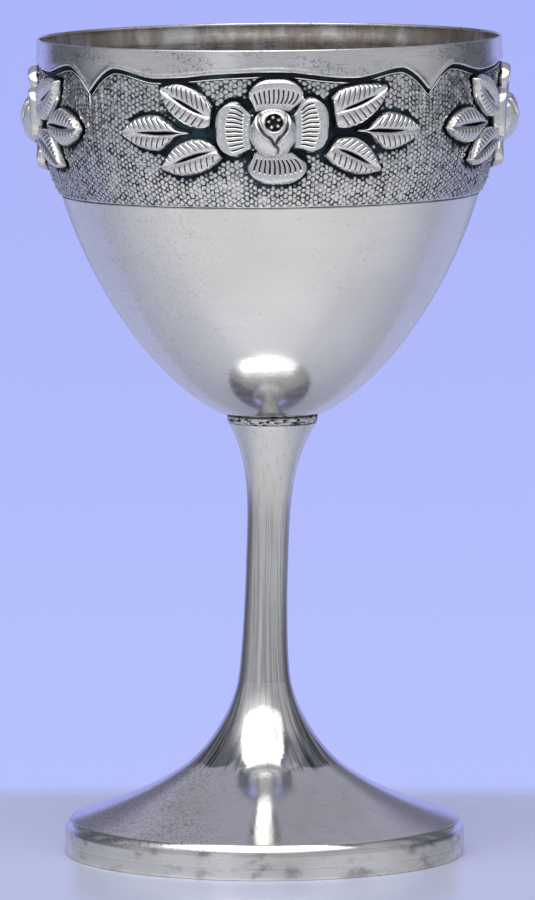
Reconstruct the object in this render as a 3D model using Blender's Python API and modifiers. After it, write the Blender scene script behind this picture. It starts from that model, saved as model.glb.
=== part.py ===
"""A small silver goblet: spun bowl, ornamented band with four rose sprays, slender hollow stem, spread foot.

Units are metres and +Z is up. The origin is the centre of the flat ring that the foot stands on, and
the front of the goblet faces -Y. Everything is worked out from the driving dimensions below.
"""
import math

import bmesh
import bpy
from mathutils import Matrix, Vector

# Foot
FOOT_RADIUS = 0.0317
FOOT_EDGE_HEIGHT = 0.00525
FOOT_DOME_RISE = 0.02235
FOOT_WALL = 0.0008
FOOT_RIM_WIDTH = 0.0015
FOOT_RIM_CHAMFER = 0.00025
FOOT_NECK_SLOPE = math.radians(76.6)
FOOT_NECK_FULLNESS = 0.01395
FOOT_EDGE_SLOPE = math.radians(19.6)
FOOT_EDGE_FULLNESS = 0.01303

# Stem
STEM_LENGTH = 0.0407
STEM_FOOT_RADIUS = 0.0042
STEM_WAIST_RADIUS = 0.00335
STEM_WAIST_HEIGHT = 0.0186
STEM_TOP_RADIUS = 0.0070
STEM_WALL = 0.0010
STEM_TOP_SLOPE = math.radians(58.9)
STEM_TOP_FULLNESS = 0.0073
STEM_WAIST_UPPER_FULLNESS = 0.0098
STEM_WAIST_LOWER_FULLNESS = 0.0044
STEM_FOOT_SLOPE = math.radians(80.0)
STEM_FOOT_FULLNESS = 0.0044

# Soldered collar between the stem and the bowl
COLLAR_RADIUS = 0.00715
COLLAR_THICKNESS = 0.0012
COLLAR_ROUNDING = 0.0004

# Bowl
BOWL_DEPTH = 0.0347
BOWL_BASE_RADIUS = 0.0083
BOWL_SHOULDER_RADIUS = 0.0330
BOWL_WALL = 0.0008
BOWL_BASE_SLOPE = math.radians(27.5)
BOWL_BASE_FULLNESS = 0.01155
BOWL_SHOULDER_SLOPE = math.radians(72.8)
BOWL_SHOULDER_FULLNESS = 0.0161
BOWL_NECK_WALL = 0.0005
BOWL_NECK_LAP = 0.0025

# Ornamented band that makes the bowl's upper wall and lip
LIP_RADIUS = 0.0368
LIP_WALL = 0.00045
LIP_ROUNDING = 0.00015
BAND_WALL = 0.0005
BAND_PROUD = 0.00015
BAND_CURVE = 4.2
RIM_STEP = 0.0004
EDGE_BEAD_HEIGHT = 0.00015
EDGE_BEAD_WIDTH = 0.0009
STEP_WIDTH = 0.00015

# Scalloped edge of the plain rim, as depths below the lip at angles from a rose
SCALLOP_CREST_DEPTH = 0.0033
SCALLOP_HOLLOW_DEPTH = 0.0044
SCALLOP_HOLLOW_ANGLE = math.radians(24.0)
SCALLOP_HUMP_DEPTH = 0.0031
SCALLOP_HUMP_ANGLE = math.radians(36.5)
SCALLOP_POINT_DEPTH = 0.0069
SCALLOP_POINT_SHARPNESS = 1.6

# Rose sprays on the band, and how far each was soldered off its quarter of the round
SPRAYS = ("front", "right", "back", "left")
SPRAY_STRAY = (0.0, math.radians(-3.0), 0.0, math.radians(-2.5))
ROSE_RADIUS = 0.0084
ROSE_NOTCH = 0.0016
ROSE_HEIGHT = 0.00185
ROSE_PLATE_HEIGHT = 0.0010
ROSE_PLATE_RADIUS = 0.0041
ROSE_EDGE_HEIGHT = 0.0009
ROSE_NOTCH_DROP = 0.0004
ROSE_TOP_MARGIN = 0.0009
ROSE_BOTTOM_MARGIN = 0.0036
BUD_RADIUS = 0.00355
BUD_TALLNESS = 1.11
BUD_HEIGHT = 0.0020
BUD_PIT_RADIUS = 0.0011
BUD_PIT_DEPTH = 0.0009
BUD_PIT_LIP_RADIUS = 0.0019
BUD_PIT_RISE = 0.0012

# Leaves, three on each side of a rose
LEAF_HEIGHT = 0.0015
LEAF_EDGE_SHARE = 0.45
LEAF_MIDRIB_SHARE = 0.72
MIDDLE_LEAF_WIDTH = 0.0056
MIDDLE_LEAF_STANDOFF = 0.0046
MIDDLE_LEAF_TIP_SPACING = 0.0082
UPPER_LEAF_WIDTH = 0.0054
UPPER_LEAF_STANDOFF = 0.0015
UPPER_LEAF_ROOT_ANGLE = math.radians(14.5)
UPPER_LEAF_REACH = 0.0096
UPPER_LEAF_TIP_MARGIN = 0.0012
UPPER_LEAF_LEAN = 0.3
LOWER_LEAF_WIDTH = 0.0054
LOWER_LEAF_STANDOFF = 0.0012
LOWER_LEAF_ROOT_ANGLE = math.radians(-15.8)
LOWER_LEAF_REACH = 0.0094
LOWER_LEAF_TIP_MARGIN = 0.0059

# A leaf from root to tip: share of its length, of its width and of its height
STALKED_LEAF = (
    (0.00, 0.10, 0.60),
    (0.18, 0.22, 0.85),
    (0.34, 0.82, 1.00),
    (0.52, 1.00, 1.00),
    (0.80, 0.66, 0.90),
    (1.00, 0.07, 0.55),
)
TUCKED_LEAF = (
    (0.00, 0.70, 0.80),
    (0.18, 0.96, 1.00),
    (0.40, 1.00, 1.00),
    (0.63, 0.82, 1.00),
    (0.84, 0.45, 0.85),
    (1.00, 0.07, 0.55),
)

# Clearance where two soldered pieces meet, and the number of sides of round pieces
SEAT_GAP = 0.0003
BAND_SIDES = 72
SHELL_SIDES = 60
STEM_SIDES = 32
ROSE_SIDES = 24
BUD_SIDES = 16
BOWL_POINTS = 9
FOOT_POINTS = 9
STEM_POINTS = 6

# Heights of the joints, from the ground up
FOOT_TOP = FOOT_EDGE_HEIGHT + FOOT_DOME_RISE
STEM_BASE = FOOT_TOP + SEAT_GAP
STEM_TOP = STEM_BASE + STEM_LENGTH
COLLAR_BASE = STEM_TOP + SEAT_GAP
COLLAR_TOP = COLLAR_BASE + COLLAR_THICKNESS
BOWL_BASE = COLLAR_TOP + SEAT_GAP
BOWL_SHOULDER = BOWL_BASE + BOWL_DEPTH
BAND_BASE = BOWL_SHOULDER + SEAT_GAP
BAND_HEIGHT = SCALLOP_CREST_DEPTH + ROSE_TOP_MARGIN + 2 * ROSE_RADIUS + ROSE_BOTTOM_MARGIN
BAND_TOP = BAND_BASE + BAND_HEIGHT
ROSE_CENTRE = BAND_TOP - SCALLOP_CREST_DEPTH - ROSE_TOP_MARGIN - ROSE_RADIUS

# Radii that follow from the others
GROUND_TOP_RADIUS = LIP_RADIUS - RIM_STEP
GROUND_BASE_RADIUS = BOWL_SHOULDER_RADIUS + BAND_PROUD
SPRAY_ANGLE = 2 * math.pi / len(SPRAYS)
HALF_SPRAY_LENGTH = GROUND_TOP_RADIUS * SPRAY_ANGLE / 2


def clear_scene():
    for obj in list(bpy.data.objects):
        bpy.data.objects.remove(obj, do_unlink=True)


def silver(name, colour, roughness):
    material = bpy.data.materials.new(name)
    material.use_nodes = True
    shader = material.node_tree.nodes["Principled BSDF"]
    shader.inputs["Base Color"].default_value = (*colour, 1.0)
    shader.inputs["Roughness"].default_value = roughness
    shader.inputs["Metallic"].default_value = 1.0
    return material


def add_object(name, mesh, material, collection):
    mesh.materials.clear()
    mesh.materials.append(material)
    obj = bpy.data.objects.new(name, mesh)
    collection.objects.link(obj)
    return obj


# Curves

def bezier(start, start_handle, end_handle, end, count):
    """Points on a cubic curve, both ends included."""
    points = []
    for i in range(count):
        t = i / (count - 1)
        u = 1 - t
        points.append(u ** 3 * start + 3 * u * u * t * start_handle + 3 * u * t * t * end_handle + t ** 3 * end)
    return points


def sloped(point, angle, length):
    """The handle that leaves a point at an angle from the horizontal."""
    return point + length * Vector((math.cos(angle), math.sin(angle)))


def offset(points, distance):
    """A curve beside the given one, to the left of its direction."""
    moved = []
    for i, point in enumerate(points):
        before = points[max(i - 1, 0)]
        after = points[min(i + 1, len(points) - 1)]
        along = (after - before).normalized()
        moved.append(point + distance * Vector((-along.y, along.x)))
    return moved


# Turned pieces

def profile_mesh(name, profile, closed):
    mesh = bpy.data.meshes.new(name)
    edges = [(i, i + 1) for i in range(len(profile) - 1)]
    if closed:
        edges.append((len(profile) - 1, 0))
    mesh.from_pydata([(radius, 0.0, height) for radius, height in profile], edges, [])
    return mesh


def turned(name, profile, sides, closed, material, collection):
    """Turn a profile about Z. It runs down the outer side, and a closed one comes back up the inner side."""
    obj = add_object(name, profile_mesh(name, profile, closed), material, collection)
    screw = obj.modifiers.new("Turn", 'SCREW')
    screw.axis = 'Z'
    screw.steps = sides
    screw.render_steps = sides
    screw.use_merge_vertices = True
    screw.merge_threshold = 0.00001
    screw.use_smooth_shade = True
    return obj


def settle(obj):
    """Apply the modifiers, so that the mesh can be shaped further."""
    bpy.context.view_layer.update()
    evaluated = obj.evaluated_get(bpy.context.evaluated_depsgraph_get())
    profile = obj.data
    obj.data = bpy.data.meshes.new_from_object(evaluated)
    obj.data.name = obj.name
    obj.modifiers.clear()
    bpy.data.meshes.remove(profile)


def shade_round(mesh, crease):
    mesh.shade_smooth()
    mesh.set_sharp_from_angle(angle=crease)


# The band's surface, on which the whole ornament is laid out

def ground_radius(height):
    """Radius of the band's matted ground, which draws in to the bowl's shoulder."""
    down = max(BAND_TOP - height, 0.0) / BAND_HEIGHT
    return GROUND_TOP_RADIUS - (GROUND_TOP_RADIUS - GROUND_BASE_RADIUS) * down ** BAND_CURVE


def on_band(along, height, relief):
    """A point given by its distance round the front of the band, its height and its relief off the ground."""
    radius = ground_radius(height) + relief
    angle = along / GROUND_TOP_RADIUS
    return Vector((radius * math.sin(angle), -radius * math.cos(angle), height))


def eased(start, end, share):
    return start + (end - start) * (1 - math.cos(math.pi * share)) / 2


def scallop_depth(angle):
    """Depth of the rim's scalloped edge below the lip, at an angle measured from the front."""
    half = SPRAY_ANGLE / 2
    away = abs((angle + half) % SPRAY_ANGLE - half)
    if away < SCALLOP_HOLLOW_ANGLE:
        return eased(SCALLOP_CREST_DEPTH, SCALLOP_HOLLOW_DEPTH, away / SCALLOP_HOLLOW_ANGLE)
    if away < SCALLOP_HUMP_ANGLE:
        share = (away - SCALLOP_HOLLOW_ANGLE) / (SCALLOP_HUMP_ANGLE - SCALLOP_HOLLOW_ANGLE)
        return eased(SCALLOP_HOLLOW_DEPTH, SCALLOP_HUMP_DEPTH, share)
    share = (away - SCALLOP_HUMP_ANGLE) / (half - SCALLOP_HUMP_ANGLE)
    return SCALLOP_HUMP_DEPTH + (SCALLOP_POINT_DEPTH - SCALLOP_HUMP_DEPTH) * share ** SCALLOP_POINT_SHARPNESS


# Foot

def make_foot(collection):
    neck = Vector((STEM_FOOT_RADIUS, FOOT_TOP))
    edge = Vector((FOOT_RADIUS, FOOT_EDGE_HEIGHT))
    neck_handle = sloped(neck, -FOOT_NECK_SLOPE, FOOT_NECK_FULLNESS)
    edge_handle = sloped(edge, math.pi - FOOT_EDGE_SLOPE, FOOT_EDGE_FULLNESS)
    outer = bezier(neck, neck_handle, edge_handle, edge, FOOT_POINTS)
    inner = offset(outer, -FOOT_WALL)
    inner[0] = Vector((STEM_FOOT_RADIUS - FOOT_WALL, FOOT_TOP))
    inner[-1] = Vector((FOOT_RADIUS, foot_underside()))
    profile = outer + inner[::-1]
    turned("foot", profile, SHELL_SIDES, True, silver("foot_silver", (0.63, 0.63, 0.66), 0.28), collection)


def foot_underside():
    """Height of the lower corner of the foot's sheet at its outer edge."""
    return FOOT_EDGE_HEIGHT - FOOT_WALL / math.cos(FOOT_EDGE_SLOPE)


def make_foot_rim(collection):
    top = foot_underside() - SEAT_GAP
    inside = FOOT_RADIUS - FOOT_RIM_WIDTH
    inner_top = top + FOOT_RIM_WIDTH * math.tan(FOOT_EDGE_SLOPE)
    profile = [
        (inside, inner_top),
        (FOOT_RADIUS, top),
        (FOOT_RADIUS, FOOT_RIM_CHAMFER),
        (FOOT_RADIUS - FOOT_RIM_CHAMFER, 0.0),
        (inside, 0.0),
    ]
    turned("foot_rim", profile, SHELL_SIDES, True, silver("foot_rim_silver", (0.60, 0.60, 0.63), 0.32), collection)


# Stem and collar

def make_stem(collection):
    top = Vector((STEM_TOP_RADIUS, STEM_TOP))
    waist = Vector((STEM_WAIST_RADIUS, STEM_BASE + STEM_WAIST_HEIGHT))
    base = Vector((STEM_FOOT_RADIUS, STEM_BASE))
    up = Vector((0.0, 1.0))
    top_handle = sloped(top, math.pi + STEM_TOP_SLOPE, STEM_TOP_FULLNESS)
    upper = bezier(top, top_handle, waist + up * STEM_WAIST_UPPER_FULLNESS, waist, STEM_POINTS + 2)
    base_handle = sloped(base, math.pi - STEM_FOOT_SLOPE, STEM_FOOT_FULLNESS)
    lower = bezier(waist, waist - up * STEM_WAIST_LOWER_FULLNESS, base_handle, base, STEM_POINTS)
    outer = upper + lower[1:]
    bore = [point - Vector((STEM_WALL, 0.0)) for point in outer]
    profile = outer + bore[::-1]
    turned("stem", profile, STEM_SIDES, True, silver("stem_silver", (0.63, 0.63, 0.66), 0.26), collection)


def make_collar(collection):
    flat = COLLAR_RADIUS - COLLAR_ROUNDING
    profile = [
        (0.0, COLLAR_TOP),
        (flat, COLLAR_TOP),
        (COLLAR_RADIUS, COLLAR_TOP - COLLAR_ROUNDING),
        (COLLAR_RADIUS, COLLAR_BASE + COLLAR_ROUNDING),
        (flat, COLLAR_BASE),
        (0.0, COLLAR_BASE),
    ]
    material = silver("collar_silver", (0.55, 0.55, 0.58), 0.45)
    turned("stem_collar", profile, STEM_SIDES, False, material, collection)


# Bowl and band

def make_bowl(collection):
    """A spun bowl whose mouth is drawn in to a neck that the band slips over."""
    base = Vector((BOWL_BASE_RADIUS, BOWL_BASE))
    shoulder = Vector((BOWL_SHOULDER_RADIUS, BOWL_SHOULDER))
    base_handle = sloped(base, BOWL_BASE_SLOPE, BOWL_BASE_FULLNESS)
    shoulder_handle = sloped(shoulder, math.pi + BOWL_SHOULDER_SLOPE, BOWL_SHOULDER_FULLNESS)
    outer = bezier(shoulder, shoulder_handle, base_handle, base, BOWL_POINTS)
    inner = offset(outer, -BOWL_WALL)[1:]
    neck_top = BAND_BASE + BOWL_NECK_LAP
    inset = BAND_WALL + SEAT_GAP
    neck_outer = [Vector((ground_radius(z) - inset, z)) for z in (neck_top, BAND_BASE)]
    neck_foot = Vector((neck_outer[1].x, BOWL_SHOULDER))
    neck_inner = [point - Vector((BOWL_NECK_WALL, 0.0)) for point in neck_outer]
    profile = [Vector((0.0, BOWL_BASE + BOWL_WALL))]
    profile += inner[::-1]
    profile += neck_inner[::-1]
    profile += neck_outer
    profile += [neck_foot]
    profile += outer
    profile += [Vector((0.0, BOWL_BASE))]
    turned("bowl", profile, SHELL_SIDES, False, silver("bowl_silver", (0.62, 0.62, 0.64), 0.27), collection)


def make_band(collection):
    """The band is turned as a straight tube of relief and depth, then bent to its scallops and curve."""
    edge = (SCALLOP_CREST_DEPTH + SCALLOP_HOLLOW_DEPTH) / 2
    lip_inside = RIM_STEP - LIP_WALL
    ground_depths = [edge + (BAND_HEIGHT - edge) * share for share in (0.25, 0.48, 0.68, 0.86, 1.0)]
    outer = [
        (RIM_STEP - LIP_ROUNDING, 0.0),
        (RIM_STEP, LIP_ROUNDING),
        (RIM_STEP, edge - EDGE_BEAD_WIDTH),
        (RIM_STEP + EDGE_BEAD_HEIGHT, edge - EDGE_BEAD_WIDTH / 2),
        (RIM_STEP + EDGE_BEAD_HEIGHT, edge),
        (0.0, edge + STEP_WIDTH),
    ]
    outer += [(0.0, depth) for depth in ground_depths]
    inner = [(-BAND_WALL, depth) for depth in reversed(ground_depths)]
    inner += [
        (-BAND_WALL, edge + STEP_WIDTH),
        (lip_inside, edge - EDGE_BEAD_WIDTH / 2),
        (lip_inside, LIP_ROUNDING),
        (lip_inside + LIP_ROUNDING, 0.0),
    ]
    profile = [(GROUND_TOP_RADIUS + relief, BAND_TOP - depth) for relief, depth in outer + inner]
    band = turned("ornament_band", profile, BAND_SIDES, True,
                  silver("band_silver", (0.62, 0.62, 0.64), 0.30), collection)
    settle(band)
    for vertex in band.data.vertices:
        x, y, z = vertex.co
        angle = math.atan2(x, -y)
        relief = math.hypot(x, y) - GROUND_TOP_RADIUS
        depth = BAND_TOP - z
        here = scallop_depth(angle)
        if depth <= edge:
            depth *= here / edge
        else:
            depth = here + (depth - edge) * (BAND_HEIGHT - here) / (BAND_HEIGHT - edge)
        vertex.co = on_band(angle * GROUND_TOP_RADIUS, BAND_TOP - depth, relief)
    shade_round(band.data, math.radians(35))


# Sprays: a rose, its bud and six leaves

def wrap(mesh, centre_along, centre_height):
    """Bend a mesh that was made flat (X round the band, Y up, Z off the ground) on to the front of the band."""
    for vertex in mesh.vertices:
        x, y, z = vertex.co
        vertex.co = on_band(centre_along + x, centre_height + y, z)


def copies(name, mesh, material, collection):
    """One object for each spray, turned round the goblet and sharing its mesh."""
    for i, side in enumerate(SPRAYS):
        obj = add_object(name.format(side), mesh, material, collection)
        obj.rotation_euler = (0.0, 0.0, i * SPRAY_ANGLE + SPRAY_STRAY[i])


def flat_turned_mesh(name, profile, sides, material, collection):
    """The mesh of a low turned boss, before it is shaped and wrapped."""
    obj = turned(name, profile, sides, False, material, collection)
    settle(obj)
    mesh = obj.data
    bpy.data.objects.remove(obj)
    return mesh


def make_roses(collection):
    """Four broad petals round a flat plate. They part in notches, and the side petals lie highest."""
    material = silver("rose_silver", (0.60, 0.60, 0.62), 0.32)
    rise = ROSE_HEIGHT - ROSE_PLATE_HEIGHT
    profile = [
        (0.0, ROSE_PLATE_HEIGHT),
        (ROSE_PLATE_RADIUS, ROSE_PLATE_HEIGHT),
        (ROSE_PLATE_RADIUS + 0.3 * (ROSE_RADIUS - ROSE_PLATE_RADIUS), ROSE_PLATE_HEIGHT + 0.5 * rise),
        (ROSE_PLATE_RADIUS + 0.75 * (ROSE_RADIUS - ROSE_PLATE_RADIUS), ROSE_HEIGHT),
        (ROSE_PLATE_RADIUS + 0.93 * (ROSE_RADIUS - ROSE_PLATE_RADIUS), ROSE_HEIGHT - 0.25 * rise),
        (ROSE_RADIUS, ROSE_EDGE_HEIGHT),
        (ROSE_RADIUS, SEAT_GAP),
        (ROSE_PLATE_RADIUS, SEAT_GAP),
        (0.0, SEAT_GAP),
    ]
    mesh = flat_turned_mesh("rose", profile, ROSE_SIDES, material, collection)
    for vertex in mesh.vertices:
        x, y, z = vertex.co
        radius = math.hypot(x, y)
        if radius > ROSE_PLATE_RADIUS * 1.01:
            angle = math.atan2(y, x)
            outward = (radius - ROSE_PLATE_RADIUS) / (ROSE_RADIUS - ROSE_PLATE_RADIUS)
            parting = abs(math.sin(2 * angle)) ** 6
            radius -= outward * ROSE_NOTCH * parting
            if z > SEAT_GAP * 1.01:
                z -= ROSE_NOTCH_DROP * parting * outward
            vertex.co = (radius * math.cos(angle), radius * math.sin(angle), z)
    wrap(mesh, 0.0, ROSE_CENTRE)
    shade_round(mesh, math.radians(40))
    copies("rose_{}", mesh, material, collection)


def make_buds(collection):
    """A tall closed bud on each rose's plate, with a round pit above its middle."""
    material = silver("bud_silver", (0.62, 0.62, 0.64), 0.30)
    base = ROSE_PLATE_HEIGHT + SEAT_GAP
    profile = [
        (0.0, base + BUD_HEIGHT - BUD_PIT_DEPTH),
        (BUD_PIT_RADIUS, base + BUD_HEIGHT - BUD_PIT_DEPTH),
        (0.5 * (BUD_PIT_RADIUS + BUD_PIT_LIP_RADIUS), base + BUD_HEIGHT),
        (BUD_PIT_LIP_RADIUS, base + BUD_HEIGHT),
        (0.5 * (BUD_PIT_LIP_RADIUS + BUD_RADIUS), base + 0.85 * BUD_HEIGHT),
        (0.98 * BUD_RADIUS, base + 0.5 * BUD_HEIGHT),
        (BUD_RADIUS, base + 0.15 * BUD_HEIGHT),
        (0.95 * BUD_RADIUS, base),
        (0.0, base),
    ]
    mesh = flat_turned_mesh("rose_bud", profile, BUD_SIDES, material, collection)
    for vertex in mesh.vertices:
        x, y, z = vertex.co
        inward = 1 - min(math.hypot(x, y) / BUD_RADIUS, 1.0)
        lift = BUD_PIT_RISE * min(2.0 * inward, 1.0) * (z - base) / BUD_HEIGHT
        vertex.co = (x, y * BUD_TALLNESS + lift, z)
    wrap(mesh, 0.0, ROSE_CENTRE)
    shade_round(mesh, math.radians(40))
    copies("rose_bud_{}", mesh, material, collection)


def leaf_mesh(name, root, tip, width, stations, lean):
    """A crowned leaf with a sunken midrib, pulled up from a grid and laid from root to tip on the band.

    A lean slants the end at the root, towards the tip on the leaf's upper side and away on its lower one.
    """
    shape = bmesh.new()
    bmesh.ops.create_grid(shape, x_segments=len(stations) - 1, y_segments=4, size=1.0)
    floor = list(shape.faces)
    raised = bmesh.ops.extrude_face_region(shape, geom=floor)
    top = {item for item in raised["geom"] if isinstance(item, bmesh.types.BMVert)}
    along = (tip - root).normalized()
    upward = Vector((-along.y, along.x)) * math.copysign(1.0, along.x)
    length = (tip - root).length
    for vertex in shape.verts:
        station = round((vertex.co.x + 1) / 2 * (len(stations) - 1))
        length_share, width_share, height_share = stations[station]
        sideways = vertex.co.y * width_share * width / 2
        forward = length * length_share + lean * sideways * (1 - length_share)
        place = root + along * forward + upward * sideways
        relief = SEAT_GAP
        if vertex in top:
            crown = (LEAF_MIDRIB_SHARE, 1.0, LEAF_EDGE_SHARE)[round(abs(vertex.co.y) * 2)]
            relief = SEAT_GAP + (LEAF_HEIGHT - SEAT_GAP) * crown * height_share
        vertex.co = on_band(place.x, place.y, relief)
    bmesh.ops.recalc_face_normals(shape, faces=shape.faces)
    mesh = bpy.data.meshes.new(name)
    shape.to_mesh(mesh)
    shape.free()
    shade_round(mesh, math.radians(50))
    return mesh


def from_rose(distance, angle):
    """A point on the band's surface at a distance and an angle from the front rose's centre."""
    return Vector((distance * math.cos(angle), ROSE_CENTRE + distance * math.sin(angle)))


def make_leaves(collection):
    material = silver("leaf_silver", (0.60, 0.60, 0.62), 0.32)
    upper_tip = BAND_TOP - SCALLOP_HOLLOW_DEPTH - UPPER_LEAF_TIP_MARGIN
    lower_tip = BAND_BASE + LOWER_LEAF_TIP_MARGIN
    middle_tip = HALF_SPRAY_LENGTH - MIDDLE_LEAF_TIP_SPACING / 2
    leaves = {
        "upper": (from_rose(ROSE_RADIUS + UPPER_LEAF_STANDOFF, UPPER_LEAF_ROOT_ANGLE),
                  Vector((ROSE_RADIUS + UPPER_LEAF_REACH, upper_tip)),
                  UPPER_LEAF_WIDTH, TUCKED_LEAF, UPPER_LEAF_LEAN),
        "middle": (from_rose(ROSE_RADIUS + MIDDLE_LEAF_STANDOFF, 0.0),
                   Vector((middle_tip, ROSE_CENTRE)),
                   MIDDLE_LEAF_WIDTH, STALKED_LEAF, 0.0),
        "lower": (from_rose(ROSE_RADIUS + LOWER_LEAF_STANDOFF, LOWER_LEAF_ROOT_ANGLE),
                  Vector((ROSE_RADIUS + LOWER_LEAF_REACH, lower_tip)),
                  LOWER_LEAF_WIDTH, TUCKED_LEAF, 0.0),
    }
    for row, (root, tip, width, stations, lean) in leaves.items():
        for hand, sign in (("right", 1.0), ("left", -1.0)):
            flip = Matrix.Diagonal((sign, 1.0))
            mesh = leaf_mesh("leaf_" + hand + "_" + row, flip @ root, flip @ tip, width, stations, lean)
            copies("leaf_{}_" + hand + "_" + row, mesh, material, collection)


def main():
    clear_scene()
    goblet = bpy.data.collections.new("goblet")
    bpy.context.scene.collection.children.link(goblet)
    make_foot(goblet)
    make_foot_rim(goblet)
    make_stem(goblet)
    make_collar(goblet)
    make_bowl(goblet)
    make_band(goblet)
    make_roses(goblet)
    make_buds(goblet)
    make_leaves(goblet)


main()
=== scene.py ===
"""Looks for a small silver goblet: spun bowl, matted band with four rose sprays, slender stem, spread foot.

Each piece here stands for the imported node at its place, with its size, and adds the finish: worn silver,
blue-black patina in the recesses, punched beads, leaf veins, petal cuts, folds and fine scratches.
Units are metres, +Z is up and the front of the goblet faces -Y.
"""

from math import atan2, cos, exp, hypot, pi, radians, sin, sqrt, tan

import bpy
import numpy as np
from mathutils import Matrix, Vector, noise


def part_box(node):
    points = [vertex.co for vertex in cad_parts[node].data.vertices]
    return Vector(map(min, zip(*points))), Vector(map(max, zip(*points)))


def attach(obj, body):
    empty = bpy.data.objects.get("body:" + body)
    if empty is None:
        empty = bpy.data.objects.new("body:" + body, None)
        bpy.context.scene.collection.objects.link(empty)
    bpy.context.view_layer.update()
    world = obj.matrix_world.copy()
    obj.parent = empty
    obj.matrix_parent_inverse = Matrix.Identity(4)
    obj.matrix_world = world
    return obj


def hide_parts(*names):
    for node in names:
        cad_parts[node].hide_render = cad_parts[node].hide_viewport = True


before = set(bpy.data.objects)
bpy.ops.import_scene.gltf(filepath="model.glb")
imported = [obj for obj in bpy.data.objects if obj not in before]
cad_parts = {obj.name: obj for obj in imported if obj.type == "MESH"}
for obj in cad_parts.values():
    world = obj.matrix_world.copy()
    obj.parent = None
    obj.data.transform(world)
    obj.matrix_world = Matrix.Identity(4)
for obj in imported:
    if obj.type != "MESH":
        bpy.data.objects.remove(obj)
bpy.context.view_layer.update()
MM = 0.001

# Sprays, in the order in which they go round the band, and how far each strays from its quarter
SPRAYS = ("front", "right", "back", "left")
SPRAY_ANGLE = 2 * pi / len(SPRAYS)
SPRAY_STRAY = np.radians((0.0, -3.0, 0.0, -2.5))

# The band, from its packed box, and the steps in its sheet
(_, _, BAND_BASE), (BAND_RADIUS, _, BAND_TOP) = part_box("ornament_band")
BAND_HEIGHT = BAND_TOP - BAND_BASE
BAND_WALL = 0.5 * MM
BAND_CURVE = 4.2
BAND_PROUD = 0.15 * MM
EDGE_BEAD_HEIGHT = 0.15 * MM
EDGE_BEAD_WIDTH = 0.9 * MM
EDGE_BEAD_ARC = 0.62 * pi
RIM_STEP = 0.4 * MM
LIP_WALL = 0.45 * MM
LIP_RADIUS = BAND_RADIUS - EDGE_BEAD_HEIGHT
BOWL_SHOULDER_RADIUS = 33.0 * MM
GROUND_TOP_RADIUS = LIP_RADIUS - RIM_STEP
GROUND_BASE_RADIUS = BOWL_SHOULDER_RADIUS + BAND_PROUD
SEAT_GAP = 0.3 * MM

# Scalloped edge of the plain rim: depths below the lip, angles from a rose, and how far each point strays
SCALLOP_CREST_DEPTH = 3.3 * MM
SCALLOP_HOLLOW_DEPTH = 4.4 * MM
SCALLOP_HOLLOW_ANGLE = radians(24.0)
SCALLOP_HUMP_DEPTH = 3.1 * MM
SCALLOP_HUMP_ANGLE = radians(36.5)
SCALLOP_POINT_DEPTH = 6.9 * MM
SCALLOP_POINT_SHARPNESS = 1.6
SCALLOP_STRAY = np.radians((-3.2, 1.6, -1.2, -5.2))

# Punched ground: a triangular net of points with a bead on every third one
BAND_COLUMNS = 480
GROUND_ROWS = 48
BEAD_HEIGHT = 0.30 * MM
BEAD_STRAY = 0.35
GROOVE_WIDTH = 0.90 * MM
GROOVE_DEPTH = 0.14 * MM
RIDGE_HEIGHT = 0.12 * MM
RIDGE_WIDTH = 0.24 * MM
RIDGE_SHAPE = ((0.0, -0.5, 0.0), (0.35, 0.8, 0.75), (0.65, 0.8, 0.75), (1.0, -0.3, 0.0))
OUTLINE_WIDTH = 0.80 * MM
OUTLINE_DEPTH = 0.18 * MM

# Polish is 0 where the patina stays, 1 where relief is rubbed bright, and this on plain silver
PLAIN = 2.0

# Relief: the height of the roses' centres, the tops of the buds, and how deep a casting's edge is sunk
ROSE_CENTRE = sum(corner.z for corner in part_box("rose_front")) / 2
BUD_TOP_RELIEF = -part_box("rose_bud_front")[0].y - GROUND_TOP_RADIUS - 0.25 * MM
SUNK = -0.15 * MM

# The goblet was soldered together a little askew: the stem leans, and all above it sits aside and tilts
LEAN_ASIDE = Vector((0.97 * MM, 0.0, 0.0))
LEAN_PIVOT = Vector((0.0, 0.0, 105 * MM))
LEAN = (Matrix.Translation(LEAN_PIVOT + LEAN_ASIDE) @ Matrix.Rotation(radians(-0.5), 4, 'Y')
        @ Matrix.Translation(-LEAN_PIVOT))
UPRIGHT = ("foot", "foot_rim", "stem")


# Curves and shares

def smooth(value, start, end):
    """0 before start, 1 after end, and an eased rise between them."""
    share = np.clip((value - start) / (end - start), 0.0, 1.0)
    return share * share * (3 - 2 * share)


def swell(share):
    """The quarter-round rise of a rolled edge, from 0 at the edge to 1 on the crown."""
    return np.sqrt(1 - (1 - np.clip(share, 0.0, 1.0)) ** 2)


def groove(distance, width):
    """1 on a groove's line, falling to 0 beside it."""
    return np.exp(-(distance / width) ** 2)


def curve(start, start_handle, end_handle, end, count):
    """Points on a cubic curve. Its handles are given by their angle from the horizontal and length."""
    handles = []
    for point, (angle, length) in ((start, start_handle), (end, end_handle)):
        handles.append(point + length * Vector((cos(angle), sin(angle))))
    points = []
    for i in range(count):
        t = i / (count - 1)
        u = 1 - t
        points.append(u ** 3 * start + 3 * u * u * t * handles[0] + 3 * u * t * t * handles[1]
                      + t ** 3 * end)
    return points


def offset(points, distance):
    """A curve beside the given one, to the left of its direction."""
    moved = []
    for i, point in enumerate(points):
        before = points[max(i - 1, 0)]
        after = points[min(i + 1, len(points) - 1)]
        along = (after - before).normalized()
        moved.append(point + distance * Vector((-along.y, along.x)))
    return moved


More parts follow.
